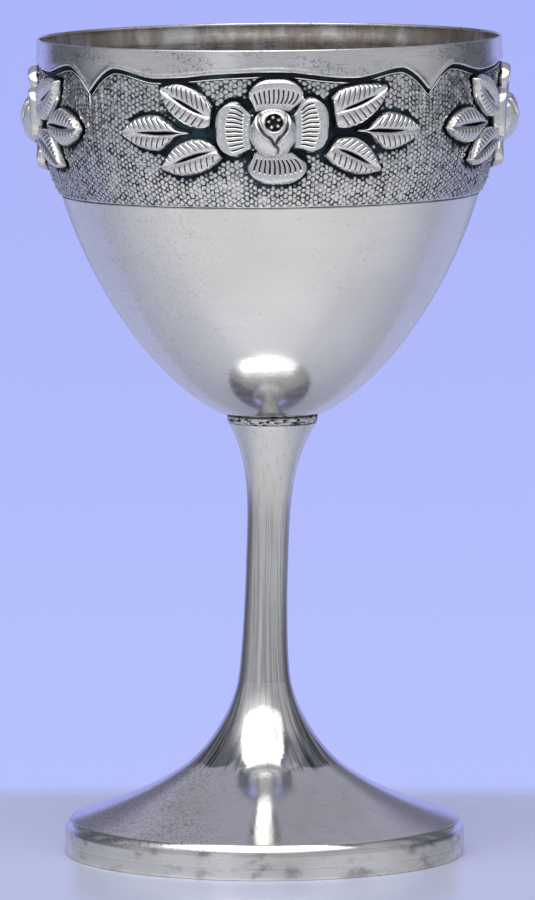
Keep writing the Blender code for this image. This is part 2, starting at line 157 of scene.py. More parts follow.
def smooth_line(points, shares):
    """Places at shares of the length of a smooth line through the given points."""
    knots = np.array(points, float)
    knots = np.vstack([2 * knots[0] - knots[1], knots, 2 * knots[-1] - knots[-2]])
    steps = np.linspace(0, len(points) - 1, 40 * (len(points) - 1) + 1)
    start = np.minimum(steps.astype(int), len(points) - 2)
    t = (steps - start)[:, None]
    a, b, c, d = (knots[start + i] for i in range(4))
    line = b + 0.5 * t * (c - a + t * (2 * a - 5 * b + 4 * c - d + t * (3 * (b - c) + d - a)))
    run = np.concatenate([[0], np.cumsum(np.hypot(*np.diff(line, axis=0).T))])
    return np.stack([np.interp(shares * run[-1], run, line[:, k]) for k in (0, 1)], axis=-1)


def distance_to_line(x, y, line):
    """Distance of each place to a line of points."""
    nearest = np.full(x.shape, 1.0)
    for (ax, ay), (bx, by) in zip(line[:-1], line[1:]):
        run = (bx - ax) ** 2 + (by - ay) ** 2
        share = np.clip(((x - ax) * (bx - ax) + (y - ay) * (by - ay)) / max(run, 1e-18), 0, 1)
        nearest = np.minimum(nearest, np.hypot(x - ax - share * (bx - ax), y - ay - share * (by - ay)))
    return nearest


def inside_outline(x, y, outline):
    """Whether each place lies inside a closed outline."""
    inside = np.zeros(x.shape, bool)
    for (ax, ay), (bx, by) in zip(outline, np.roll(outline, -1, axis=0)):
        if ay != by:
            crossing = ax + (y - ay) * (bx - ax) / (by - ay)
            inside ^= ((ay > y) != (by > y)) & (x < crossing)
    return inside


# The band's surface

def ground_radius(height):
    """Radius of the band's matted ground, which draws in to the bowl's shoulder."""
    down = np.maximum(BAND_TOP - height, 0.0) / BAND_HEIGHT
    return GROUND_TOP_RADIUS - (GROUND_TOP_RADIUS - GROUND_BASE_RADIUS) * down ** BAND_CURVE


def on_band(along, height, relief):
    """Points given by their distance round the front of the band, their height and their relief."""
    radius = ground_radius(height) + relief
    angle = along / GROUND_TOP_RADIUS
    return np.stack([radius * np.sin(angle), -radius * np.cos(angle), height], axis=-1)


def eased(start, end, share):
    """A value on its way from start to end, slow at both."""
    return start + (end - start) * (1 - np.cos(np.pi * share)) / 2


def stray(angle):
    """How far the hand-cut scallops wander round the rim: fully between sprays, not at the roses."""
    wander = np.zeros_like(angle)
    for i, most in enumerate(SCALLOP_STRAY):
        point = (i + 0.5) * SPRAY_ANGLE
        away = np.abs((angle - point + pi) % (2 * pi) - pi)
        wander += most * (1 - smooth(away, 0.3 * SPRAY_ANGLE, 0.5 * SPRAY_ANGLE))
    return wander


def scallop_depth(angle):
    """Depth of the rim's scalloped edge below the lip, at angles measured from the front."""
    half = SPRAY_ANGLE / 2
    away = np.abs((angle - stray(angle) + half) % SPRAY_ANGLE - half)
    hollow = eased(SCALLOP_CREST_DEPTH, SCALLOP_HOLLOW_DEPTH, away / SCALLOP_HOLLOW_ANGLE)
    rise = (away - SCALLOP_HOLLOW_ANGLE) / (SCALLOP_HUMP_ANGLE - SCALLOP_HOLLOW_ANGLE)
    hump = eased(SCALLOP_HOLLOW_DEPTH, SCALLOP_HUMP_DEPTH, rise)
    drop = np.maximum((away - SCALLOP_HUMP_ANGLE) / (half - SCALLOP_HUMP_ANGLE), 0.0)
    point = SCALLOP_HUMP_DEPTH + (SCALLOP_POINT_DEPTH - SCALLOP_HUMP_DEPTH) * drop ** SCALLOP_POINT_SHARPNESS
    return np.where(away < SCALLOP_HOLLOW_ANGLE, hollow, np.where(away < SCALLOP_HUMP_ANGLE, hump, point))


# Meshes

def add_attribute(mesh, name, values):
    attribute = mesh.attributes.new(name, 'FLOAT', 'POINT')
    attribute.data.foreach_set("value", np.asarray(values, np.float32))


def mark_inside(mesh):
    """Note where a turned sheet faces the axis or the table, so that the finish can paint shade there and
    leave it dull.
    """
    facing = [vertex.normal.dot(vertex.co.xy.to_3d().normalized()) for vertex in mesh.vertices]
    add_attribute(mesh, "inside", np.clip(-2.5 * np.array(facing) - 0.2, 0.0, 1.0))


def mesh_of(name, points, faces, material, polish, crease=60):
    """A smooth shaded mesh with its polish at each point."""
    mesh = bpy.data.meshes.new(name)
    mesh.from_pydata(points, [], faces)
    mesh.materials.append(material)
    mesh.shade_smooth()
    mesh.set_sharp_from_angle(angle=radians(crease))
    add_attribute(mesh, "polish", polish)
    return mesh


def new_object(name, data):
    obj = bpy.data.objects.new(name, data)
    bpy.context.scene.collection.objects.link(obj)
    return obj


def place(name, mesh, node, slot, turn=0.0):
    """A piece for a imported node. Repeated pieces share a mesh and are turned round the goblet."""
    obj = new_object(name, mesh)
    obj.matrix_basis = (Matrix() if node in UPRIGHT else LEAN) @ Matrix.Rotation(turn, 4, 'Z')
    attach(obj, "root")
    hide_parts(node)


class Casting:
    """Raised shells on the front of the band, gathered into one mesh. Each is a grid of places (distance
    round the band, height) with their relief off the ground and their polish."""

    def __init__(self):
        self.points, self.faces, self.polish = [], [], []

    def shell(self, along, height, relief, polish):
        """Add the grid itself and one face under it, turned to face outward."""
        grids = [along, height + ROSE_CENTRE, relief, polish]
        turn = (along[0, -1] - along[0, 0]) * (height[-1] - height[0]).mean()
        turn -= (height[0, -1] - height[0, 0]) * (along[-1] - along[0]).mean()
        if turn < 0:
            grids = [grid[::-1] for grid in grids]
        rows, columns = along.shape
        index = len(self.points) + np.arange(rows * columns).reshape(rows, columns)
        quads = np.stack([index[:-1, :-1], index[:-1, 1:], index[1:, 1:], index[1:, :-1]], axis=-1)
        border = np.concatenate([index[0, :-1], index[:-1, -1], index[-1, :0:-1], index[:0:-1, 0]])
        self.points += on_band(*grids[:3]).reshape(-1, 3).tolist()
        self.polish += grids[3].ravel().tolist()
        self.faces += quads.reshape(-1, 4).tolist()
        self.faces.append(border[::-1].tolist())

    def mesh(self, name, material):
        return mesh_of(name, self.points, self.faces, material, self.polish)


def disc_grid(count):
    """A square grid of places drawn out to a round disc of radius 1."""
    side = np.linspace(-1, 1, count)
    u, v = np.meshgrid(side, side)
    return u * np.sqrt(1 - v * v / 2), v * np.sqrt(1 - u * u / 2)


# Leaves: upper and lower side from the root to the tip, in millimetres from the rose's centre
LEAF_SIDES = {
    "right_upper": (
        ((9.0, 5.2), (10.4, 6.4), (12.4, 7.0), (15.2, 7.3), (18.4, 7.0)),
        ((9.7, 0.4), (11.6, 0.2), (13.8, 0.85), (15.8, 2.15), (17.5, 4.0), (18.4, 7.0))),
    "right_middle": (
        ((13.2, 0.1), (14.7, 0.35), (15.9, 1.3), (17.4, 2.4), (19.4, 2.7), (22.4, 1.7), (24.7, -0.35)),
        ((13.2, -0.3), (14.8, -0.7), (16.4, -2.0), (17.9, -3.1), (19.7, -3.3), (22.7, -2.2), (24.7, -0.35))),
    "right_lower": (
        ((9.9, -1.0), (12.6, -0.9), (14.6, -1.8), (16.4, -3.7), (17.9, -6.6)),
        ((7.8, -3.8), (9.5, -5.3), (11.8, -6.5), (14.6, -7.1), (17.9, -6.6))),
    "left_upper": (
        ((9.1, 4.0), (10.5, 5.6), (12.5, 6.9), (15.0, 7.5), (17.8, 6.9)),
        ((9.5, 0.5), (11.2, 0.3), (13.1, 0.7), (15.0, 1.8), (16.9, 3.8), (17.8, 6.9))),
    "left_middle": (
        ((12.9, -0.1), (14.9, 0.5), (16.5, 1.6), (18.4, 2.5), (21.2, 2.3), (23.4, 1.2), (25.0, -0.5)),
        ((12.9, -0.4), (14.9, -1.0), (16.5, -2.2), (18.2, -3.2), (21.0, -2.9), (23.3, -1.9), (25.0, -0.5))),
    "left_lower": (
        ((9.0, -1.8), (11.0, -1.0), (13.6, -1.3), (16.2, -2.9), (18.3, -6.0)),
        ((7.6, -4.0), (9.5, -5.6), (12.2, -6.7), (15.2, -7.0), (18.3, -6.0))),
}
LEAF_ROWS = 128
LEAF_COLUMNS = 61
LEAF_TIP_SHARE = 0.985
LEAF_RELIEF = 1.5 * MM
LEAF_ROLL = 0.65 * MM
LEAF_ROOT_ROLL = 0.5 * MM
LEAF_TIP_ROLL = 0.9 * MM
MIDRIB_SHARE = 0.80
MIDRIB_WIDTH = 0.21 * MM
MIDRIB_DEPTH = 0.42 * MM
VEIN_SPACING = 0.95 * MM
VEIN_SLANTS = (0.35, 0.65)
VEIN_WIDTH = 0.13 * MM
VEIN_DEPTH = 0.20 * MM
VEIN_START = 0.48 * MM
VEIN_MARGIN = 0.55 * MM


def leaf_outline(key):
    """Both sides of a leaf in metres, as grids of places, mirrored for a leaf left of the rose."""
    shares = np.linspace(0, LEAF_TIP_SHARE, LEAF_ROWS)
    sign = 1.0 if key.startswith("right") else -1.0
    return [smooth_line(side, shares) * (sign * MM, MM) for side in LEAF_SIDES[key]]


def make_leaf(key, material):
    upper, lower = leaf_outline(key)
    across = np.linspace(-1, 1, LEAF_COLUMNS)[None, :]
    middle = (upper + lower) / 2
    half = (upper - lower) / 2
    along = middle[:, :1] + across * half[:, :1]
    height = middle[:, 1:] + across * half[:, 1:]
    run = np.concatenate([[0], np.cumsum(np.hypot(*np.diff(middle, axis=0).T))])[:, None]
    length = run[-1] / LEAF_TIP_SHARE
    width = np.hypot(*half.T)[:, None]
    out = np.abs(across) * width
    margin = width - out
    body = swell(margin / LEAF_ROLL) * swell((run + 0.02 * MM) / LEAF_ROOT_ROLL)
    body = body * swell((length - run) / LEAF_TIP_ROLL)
    crown = MIDRIB_SHARE + (1 - MIDRIB_SHARE) * np.sin(np.pi * np.clip(1.15 * np.abs(across), 0, 1))
    rise = np.sin(np.pi * np.clip((run / length - 0.10) / 0.66, 0, 1))
    rib = groove(out, MIDRIB_WIDTH * (0.4 + 0.9 * rise)) * rise ** 0.5
    slant = np.where(across > 0, VEIN_SLANTS[1], VEIN_SLANTS[0])
    phase = (run - slant * out) / VEIN_SPACING
    away = np.abs(phase - np.round(phase)) * VEIN_SPACING
    vein = groove(away, VEIN_WIDTH) * smooth(out, VEIN_START, VEIN_START + 0.25 * MM)
    vein = vein * smooth(margin, VEIN_MARGIN - 0.3 * MM, VEIN_MARGIN + 0.1 * MM)
    vein = vein * smooth(run / length, 0.05, 0.10) * (1 - smooth(run / length, 0.88, 0.94))
    relief = SUNK + (LEAF_RELIEF - SUNK) * body * crown - MIDRIB_DEPTH * rib - VEIN_DEPTH * vein
    polish = np.clip(1 - 1.25 * rib - 0.95 * vein, 0, 1) * smooth(body, 0.15, 0.50)
    casting = Casting()
    casting.shell(along, height, relief, polish)
    return casting.mesh("leaf_" + key, material)


# Dark corner between the roots of a side's leaves and the rose, in millimetres from the rose's centre
LEAF_CORNER = ((8.2, 3.3), (9.4, 0.6), (12.0, 0.1), (12.6, -0.3), (11.6, -0.7), (9.4, -1.1), (7.6, -3.4))

# Petals: direction from the rose's centre in degrees, then reach, half width, how far they sit to their
# left, and lift, in millimetres
PETALS = tuple((radians(degrees), *(size * MM for size in sizes)) for degrees, *sizes in (
    (90.0, 8.35, 4.35, -0.6, 0.00),
    (270.0, 8.35, 4.75, 0.7, 0.00),
    (0.0, 8.75, 4.40, 1.05, 0.35),
    (180.0, 8.85, 4.40, -0.45, 0.35),
))
PETAL_ROWS = 60
PETAL_COLUMNS = 121
PETAL_START = 2.7 * MM
PETAL_NECK_SHARE = 0.62
PETAL_CORNER = 0.17
PETAL_LIP_RELIEF = 1.75 * MM
PETAL_INNER_RELIEF = 1.05 * MM
PETAL_ROLL = 0.85 * MM
CUTS = 11
CUT_WIDTH = 0.21
CUT_DEPTH = 0.24 * MM


def petal_grid(direction, reach, half_width, aside):
    """Places on a petal that fans out from under the bud, and their shares outward and across."""
    outward = np.linspace(0, 1, PETAL_ROWS)[:, None]
    across = np.linspace(-1, 1, PETAL_COLUMNS)[None, :]
    fan = PETAL_NECK_SHARE + (1 - PETAL_NECK_SHARE) * smooth(outward, 0.0, 0.62)
    fan = fan - 0.22 * smooth(outward, 0.70, 1.15)
    far = PETAL_START + outward * (reach * (1 - PETAL_CORNER * np.abs(across) ** 3.4) - PETAL_START)
    sideways = across * half_width * fan + aside * smooth(outward, 0.0, 0.5)
    along = far * cos(direction) - sideways * sin(direction)
    height = far * sin(direction) + sideways * cos(direction)
    return along, height, outward, across


def add_petal(casting, direction, reach, half_width, aside, lift):
    along, height, outward, across = petal_grid(direction, reach, half_width, aside)
    far_margin = (1 - outward) * (reach - PETAL_START)
    side_margin = (1 - np.abs(across)) * half_width
    roll = swell((far_margin + 0.001 * MM) / PETAL_ROLL) * swell(side_margin / PETAL_ROLL)
    cup = PETAL_INNER_RELIEF + (PETAL_LIP_RELIEF - PETAL_INNER_RELIEF) * smooth(outward, 0.15, 0.85)
    phase = across * (CUTS + 1) / 2
    away = np.abs(phase - 0.5 - np.round(phase - 0.5))
    cut = groove(away, CUT_WIDTH) * smooth(outward, 0.24, 0.32)
    cut = cut * (1 - smooth(outward + 0.10 * np.abs(across), 0.68, 0.76))
    cut = cut * (1 - smooth(np.abs(across), 0.76, 0.84))
    relief = SUNK + (cup + lift - SUNK) * roll - CUT_DEPTH * cut
    polish = (1 - cut) * smooth(roll, 0.2, 0.6) * smooth(outward, 0.04, 0.24)
    casting.shell(along, height, relief, polish)


# Stamens round the bud, and the dark plate under it
PLATE_RADIUS = 5.0 * MM
PLATE_RELIEF = 0.55 * MM
STAMEN_ARC = np.radians((140, 268))
STAMENS = 12
STAMEN_RADIUS = 0.27 * MM
STAMEN_RELIEF = 1.55 * MM
STAMEN_RING = (3.95 * MM, 4.05 * MM)


def make_rose(material):
    casting = Casting()
    x, y = disc_grid(25)
    rim = np.clip(1 - np.hypot(x, y), 0, 1)
    plate = SUNK + (PLATE_RELIEF - SUNK) * swell(rim / 0.08)
    casting.shell(x * PLATE_RADIUS, y * PLATE_RADIUS, plate, np.zeros_like(x))
    for petal in PETALS:
        add_petal(casting, *petal)
    x, y = disc_grid(9)
    dome = swell(1 - np.hypot(x, y))
    relief = PLATE_RELIEF + (STAMEN_RELIEF - PLATE_RELIEF) * dome
    for angle in np.linspace(*STAMEN_ARC, STAMENS):
        along = STAMEN_RING[0] * cos(angle) + x * STAMEN_RADIUS
        height = STAMEN_RING[1] * sin(angle) + y * STAMEN_RADIUS
        casting.shell(along, height, relief, smooth(dome, 0.4, 0.9))
    return casting.mesh("rose", material)


# The bud: size, pit, and the two folds that part its three wrapped petals, from the rose's centre
BUD_CENTRE = (0.05 * MM, -0.15 * MM)
BUD_HALF_WIDTH = 3.75 * MM
BUD_HALF_HEIGHT = 3.95 * MM
BUD_SEAT_RELIEF = 0.5 * MM
BUD_GRID = 121
BUD_PIT = (0.2 * MM, 1.55 * MM)
BUD_PIT_RADIUS = 1.38 * MM
BUD_PIT_DEPTH = 0.75 * MM
BUD_DOTS = 5
BUD_DOT_RING = 0.80 * MM
BUD_DOT_RADIUS = 0.33 * MM
BUD_DOT_HEIGHT = 0.60 * MM
BUD_FOLDS = (
    ((-2.1, 3.3), (-2.15, 1.7), (-1.3, -0.1), (-0.3, -0.95), (0.2, -1.85), (0.8, -2.6), (0.6, -3.9)),
    ((2.25, 3.2), (2.1, 0.9), (1.6, -0.15), (0.9, -0.9), (0.35, -1.9)),
)
FOLD_WIDTH = 0.24 * MM
FOLD_DEPTH = 0.42 * MM
FOLD_LIP_WIDTH = 0.42 * MM
FOLD_LIP_OFFSET = 0.55 * MM
FOLD_LIP_HEIGHT = 0.16 * MM


def make_bud(material):
    x, y = disc_grid(BUD_GRID)
    out = np.clip(np.hypot(x, y), 0, 1)
    along = BUD_CENTRE[0] + x * BUD_HALF_WIDTH
    height = BUD_CENTRE[1] + y * BUD_HALF_HEIGHT
    dome = np.sqrt(1 - out ** 2.5)
    relief = BUD_SEAT_RELIEF + (BUD_TOP_RELIEF - BUD_SEAT_RELIEF) * dome
    fold = np.zeros_like(x)
    lip = np.zeros_like(x)
    for points in BUD_FOLDS:
        line = smooth_line(points, np.linspace(0, 1, 40)) * MM
        distance = distance_to_line(along, height, line)
        fold = np.maximum(fold, groove(distance, FOLD_WIDTH))
        lip = np.maximum(lip, groove(distance - FOLD_LIP_OFFSET, FOLD_LIP_WIDTH))
    pit_distance = np.hypot(along - BUD_PIT[0], height - BUD_PIT[1])
    pit = 1 - smooth(pit_distance, BUD_PIT_RADIUS - 0.25 * MM, BUD_PIT_RADIUS + 0.05 * MM)
    dots = np.zeros_like(x)
    for i in range(BUD_DOTS):
        angle = radians(100) + 2 * pi * i / BUD_DOTS
        dot_x = BUD_PIT[0] + BUD_DOT_RING * cos(angle)
        dot_y = BUD_PIT[1] + BUD_DOT_RING * sin(angle)
        dots = np.maximum(dots, groove(np.hypot(along - dot_x, height - dot_y), BUD_DOT_RADIUS))
    dots = dots * pit
    ring = groove(pit_distance - 1.2 * BUD_PIT_RADIUS, 0.35 * MM) * 0.12 * MM
    top = smooth(dome, 0.3, 0.6)
    relief = relief + top * (FOLD_LIP_HEIGHT * lip * (1 - fold) - FOLD_DEPTH * fold + ring)
    relief = relief - BUD_PIT_DEPTH * pit + BUD_DOT_HEIGHT * dots
    polish = (1 - 0.75 * fold * top) * (1 - pit) * smooth(dome, 0.15, 0.5)
    polish = np.maximum(polish, smooth(dots, 0.25, 0.6))
    casting = Casting()
    casting.shell(along, height, relief, polish)
    return casting.mesh("bud", material)


# The band

def spray_outlines():
    """Closed outlines of a spray's leaves and petals, in metres from the rose's centre."""
    outlines = []
    for key in LEAF_SIDES:
        upper, lower = leaf_outline(key)
        outlines.append(np.vstack([upper[::6], lower[::-6]]))
    for *petal, _ in PETALS:
        grid = np.stack(petal_grid(*petal)[:2], axis=-1)
        outlines.append(np.vstack([grid[::6, 0], grid[-1, ::6], grid[::-6, -1]]))
    for sign in (1, -1):
        outlines.append(np.array(LEAF_CORNER) * (sign * MM, MM))
    return outlines


def near_spray(angle, height):
    """1 beside and under the raised pieces of the nearest spray, falling to 0 away from them."""
    quarter = np.floor(angle / SPRAY_ANGLE + 0.5).astype(int)
    turn = quarter * SPRAY_ANGLE + SPRAY_STRAY[quarter % len(SPRAYS)]
    along = (angle - turn) * GROUND_TOP_RADIUS
    up = height - ROSE_CENTRE
    near = np.zeros(angle.shape)
    for outline in spray_outlines():
        distance = distance_to_line(along, up, np.vstack([outline, outline[:1]]))
        close = 1 - smooth(distance, 0.25 * OUTLINE_WIDTH, OUTLINE_WIDTH)
        near = np.maximum(near, np.where(inside_outline(along, up, outline), 1.0, close))
    return near


def rim_rows(edge):
    """The plain rim from the lip down to its rolled edge: depth, relief and polish of each row."""
    lip = LIP_WALL / 2
    rows = [(lip * (1 - sin(turn)), RIM_STEP - lip + lip * cos(turn), PLAIN)
            for turn in np.linspace(pi, 0, 9)]
    for share in np.linspace(0, 1, 9)[1:]:
        rows.append((lip + share * (edge - EDGE_BEAD_WIDTH - lip), RIM_STEP, PLAIN))
    for share in np.linspace(0, 1, 9)[1:]:
        top = RIM_STEP + EDGE_BEAD_HEIGHT * sin(EDGE_BEAD_ARC * share) ** 2
        rows.append((edge - EDGE_BEAD_WIDTH * (1 - share), top, PLAIN))
    for share in (0.25, 0.5, 0.75, 1.0):
        drop = eased(top, -GROOVE_DEPTH, share)
        rows.append((edge + 0.22 * MM * sqrt(share), drop, max(0.0, 1.6 - 3 * share)))
    return rows


def groove_rows(angle, edge):
    """The dark groove under the rim, and the low ridge that the punch threw up along it."""
    rows = [(edge + share * GROOVE_WIDTH, -GROOVE_DEPTH, 0.0) for share in (0.45, 0.7)]
    for share, height, shine in RIDGE_SHAPE:
        depth = edge + GROOVE_WIDTH + (share - 0.5) * RIDGE_WIDTH
        clear = 1 - near_spray(angle, BAND_TOP - depth)
        rows.append((depth, height * RIDGE_HEIGHT * clear, shine * clear))
    return rows


def ground_rows(angle, edge):
    """The punched ground: depth, relief, polish and angle of each row of its net of points."""
    rng = np.random.RandomState(11)
    row = np.arange(GROUND_ROWS)[:, None]
    column = np.arange(BAND_COLUMNS)[None, :]
    first = edge + GROOVE_WIDTH + 1.1 * RIDGE_WIDTH
    last = BAND_HEIGHT - 0.30 * MM
    share = row / (GROUND_ROWS - 1)
    bead = (column - row // 2 - row) % 3 == 0
    size = rng.uniform(0.4, 1.3, bead.shape) * (rng.uniform(size=bead.shape) > 0.06)
    inner = smooth(np.minimum(share, 1 - share), 0.0, 0.012)
    stray_down = rng.uniform(-BEAD_STRAY, BEAD_STRAY, bead.shape) * inner
    stray_round = rng.uniform(-BEAD_STRAY, BEAD_STRAY, bead.shape)
    depth = first.mean() + (first - first.mean()) * (1 - share) ** 3 + share * (last - first.mean())
    depth = depth + stray_down * (last - first) / (GROUND_ROWS - 1)
    shifted = angle + 2 * pi / BAND_COLUMNS * (0.5 * (row % 2) + stray_round)
    near = near_spray(shifted, BAND_TOP - depth)
    relief = BEAD_HEIGHT * size * bead * (1 - 0.8 * near) - OUTLINE_DEPTH * near
    bare = rng.uniform(0.0, 0.28, bead.shape)
    polish = np.where(bead, 0.60 + 0.5 * size, bare) * (1 - near) ** 1.5
    return list(zip(depth, relief, polish, shifted))


def inner_rows():
    """The plain wall inside, from the band's foot up to the lip."""
    rows = []
    inside = RIM_STEP - LIP_WALL
    for share in np.linspace(0, 1, 6):
        depth = BAND_HEIGHT + 0.5 * SEAT_GAP - share * (BAND_HEIGHT - SCALLOP_HUMP_DEPTH)
        rows.append((depth, -BAND_WALL, PLAIN))
    for share in np.linspace(0, 1, 8)[1:]:
        depth = SCALLOP_HUMP_DEPTH + share * (LIP_WALL + 0.3 * MM - SCALLOP_HUMP_DEPTH)
        rows.append((depth, eased(-BAND_WALL, inside, share), PLAIN))
    return rows + [(LIP_WALL, inside, PLAIN)]


def make_band(material):
    """A net of points bent round the goblet: the outer rows, and the plain inner wall that closes it."""
    angle = 2 * pi * np.arange(BAND_COLUMNS) / BAND_COLUMNS
    edge = scallop_depth(angle)
    rows = [(*row, angle) for row in rim_rows(edge) + groove_rows(angle, edge)]
    first_ground = len(rows)
    rows += ground_rows(angle, edge)
    rows.append((BAND_HEIGHT - 0.08 * MM, 0.02 * MM, 0.5, angle))
    rows.append((BAND_HEIGHT + 0.5 * SEAT_GAP, -0.08 * MM, 0.1, angle))
    first_inner = len(rows)
    rows += [(*row, angle) for row in inner_rows()]
    grid = np.array([np.broadcast_arrays(*row) for row in rows])
    depth, relief, polish, angles = np.moveaxis(grid, 1, 0)
    points = on_band(angles * GROUND_TOP_RADIUS, BAND_TOP - depth, relief)
    faces = net_faces(len(rows), first_ground)
    mesh = mesh_of("band", points.reshape(-1, 3).tolist(), faces, material, polish.ravel(), crease=180)
    # The inner wall is marked so that its finish paints it darker as shade
    add_attribute(mesh, "inside", np.repeat(np.arange(len(rows)) >= first_inner, BAND_COLUMNS))
    place("matted_band", mesh, "ornament_band", "band")


def net_faces(rows, first_ground):
    """Faces of the band's closed net: triangles in the ground, whose odd rows are shifted, and else quads."""
    faces = []
    here = np.arange(BAND_COLUMNS)
    after = (here + 1) % BAND_COLUMNS
    for row in range(rows):
        top = row * BAND_COLUMNS
        below = ((row + 1) % rows) * BAND_COLUMNS
        a, b, c, d = top + here, top + after, below + here, below + after
        shapes = [(a, c, d, b)]
        if first_ground <= row < first_ground + GROUND_ROWS:
            odd = (row - first_ground) % 2
            shapes = [(a, c, d), (a, d, b)] if odd else [(a, c, b), (b, c, d)]
        for corners in shapes:
            faces += np.stack(corners, axis=-1).tolist()
    return faces


# Turned pieces: the length of the waves in their sheet, and the angle from which an edge is sharp
WAVE_LENGTH = 14 * MM
TURNED_CREASE = radians(32)

# Their sizes, from their packed boxes. A handle of a curve is its angle from the horizontal and its length.
(_, _, FOOT_UNDERSIDE), (FOOT_RADIUS, _, FOOT_TOP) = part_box("foot")
FOOT_WALL = 0.8 * MM
FOOT_NECK_HANDLE = (radians(-77.9), 16.36 * MM)
FOOT_EDGE_SLOPE = radians(21.0)
FOOT_EDGE_HANDLE = (pi - FOOT_EDGE_SLOPE, 6.40 * MM)
FOOT_EDGE_HEIGHT = FOOT_UNDERSIDE + FOOT_WALL / cos(FOOT_EDGE_SLOPE)
FOOT_CREASE_HEIGHT = 14.8 * MM
FOOT_CREASE_DEPTH = 0.5 * MM
FOOT_CREASE_REACH = (8.5 * MM, 6.5 * MM)
FOOT_LINE_RADIUS = 30.9 * MM
FOOT_LINE_DEPTH = 0.16 * MM
FOOT_LINE_WIDTH = 0.16 * MM
FOOT_SHOULDER_TOP = 5.45 * MM
FOOT_SHOULDER_WIDTH = 0.75 * MM
FOOT_SHOULDER_HEIGHT = 1.85 * MM
FOOT_RIM_WIDTH = 1.5 * MM
FOOT_RIM_SEAM = 2.0 * MM
FOOT_RIM_SEAM_DEPTH = 0.012 * MM
FOOT_RIM_SEAM_REACH = 0.07 * MM
FOOT_RIM_BEVEL = (0.22 * MM, 0.50 * MM)
FOOT_DENT = (radians(-0.5), 2.9 * MM)
FOOT_DENT_SIZE = (1.3 * MM, 0.9 * MM)
FOOT_DENT_DEPTH = 0.16 * MM

(_, _, STEM_BASE), (STEM_TOP_RADIUS, _, STEM_TOP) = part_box("stem")
STEM_FOOT_RADIUS = 4.2 * MM
STEM_WAIST_RADIUS = 3.35 * MM
STEM_WAIST_HEIGHT = 18.6 * MM
STEM_WALL = 1.0 * MM
STEM_TOP_HANDLE = (pi + radians(58.9), 7.3 * MM)
STEM_WAIST_UPPER_HANDLE = (pi / 2, 9.8 * MM)
STEM_WAIST_LOWER_HANDLE = (-pi / 2, 4.4 * MM)
STEM_FOOT_HANDLE = (pi - radians(80.0), 4.4 * MM)

(_, _, COLLAR_BASE), (COLLAR_RADIUS, _, COLLAR_TOP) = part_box("stem_collar")
COLLAR_ROLL = 0.35 * MM
COLLAR_UNEVENNESS = 0.022

(_, _, BOWL_BASE), (_, _, BOWL_NECK_TOP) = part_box("bowl")
BOWL_SHOULDER = BAND_BASE - SEAT_GAP
BOWL_BASE_RADIUS = 8.3 * MM
BOWL_WALL = 0.8 * MM
BOWL_NECK_WALL = 0.5 * MM
BOWL_BASE_HANDLE = (radians(27.5), 11.55 * MM)
BOWL_SHOULDER_HANDLE = (pi + radians(72.8), 16.1 * MM)


def turned(name, profile, sides, closed, material, waviness):
    """Turn a profile about Z, and let the hammered and spun sheet wander a little from true."""
    mesh = bpy.data.meshes.new("profile")
    count = len(profile)
    edges = [(i, (i + 1) % count) for i in range(count if closed else count - 1)]
    mesh.from_pydata([(radius, 0.0, height) for radius, height in profile], edges, [])
    obj = new_object("profile", mesh)
    screw = obj.modifiers.new("Turn", 'SCREW')
    screw.axis = 'Z'
    screw.steps = screw.render_steps = sides
    screw.use_merge_vertices = True
    screw.merge_threshold = 0.01 * MM
    whole = bpy.data.meshes.new_from_object(obj.evaluated_get(bpy.context.evaluated_depsgraph_get()))
    bpy.data.objects.remove(obj)
    whole.name = name
    for vertex in whole.vertices:
        radius = hypot(vertex.co.x, vertex.co.y)
        if radius > MM:
            move = waviness * noise.noise(vertex.co / WAVE_LENGTH)
            vertex.co.xy *= 1 + move / radius
    whole.materials.append(material)
    whole.shade_smooth()
    whole.set_sharp_from_angle(angle=TURNED_CREASE)
    mark_inside(whole)
    return whole


def make_foot(material):
    neck = Vector((STEM_FOOT_RADIUS, FOOT_TOP))
    edge = Vector((FOOT_RADIUS, FOOT_EDGE_HEIGHT))
    outer = curve(neck, FOOT_NECK_HANDLE, FOOT_EDGE_HANDLE, edge, 72)
    for point in outer:
        reach = FOOT_CREASE_REACH[1 if point.y > FOOT_CREASE_HEIGHT else 0]
        near = max(1 - abs(point.y - FOOT_CREASE_HEIGHT) / reach, 0.0)
        point.x -= FOOT_CREASE_DEPTH * near ** 1.5
    inner = offset(outer, -FOOT_WALL)
    inner[0] = Vector((STEM_FOOT_RADIUS - FOOT_WALL, FOOT_TOP))
    inner[-1] = Vector((shoulder_radius(FOOT_UNDERSIDE), FOOT_UNDERSIDE))
    plate = [point for point in outer if point.x < FOOT_LINE_RADIUS]
    low = plate[-1].y - FOOT_LINE_DEPTH
    line = [Vector((FOOT_LINE_RADIUS + share * FOOT_LINE_WIDTH, low)) for share in (0.0, 0.3)]
    shoulder = [Vector((shoulder_radius(height), height))
                for height in np.linspace(FOOT_SHOULDER_TOP, FOOT_UNDERSIDE, 9)]
    shoulder[0].y -= 0.03 * MM
    profile = plate + line + shoulder + inner[::-3]
    place("raised_foot", turned("foot_sheet", profile, 320, True, material, 0.03 * MM), "foot", "foot")


def shoulder_radius(height):
    """Outer radius of the rounded moulding that the plate's edge and the ring under it share."""
    up = min(max((height - FOOT_SHOULDER_TOP) / FOOT_SHOULDER_HEIGHT + 1, 0.0), 1.0)
    return FOOT_RADIUS - FOOT_SHOULDER_WIDTH * up * up


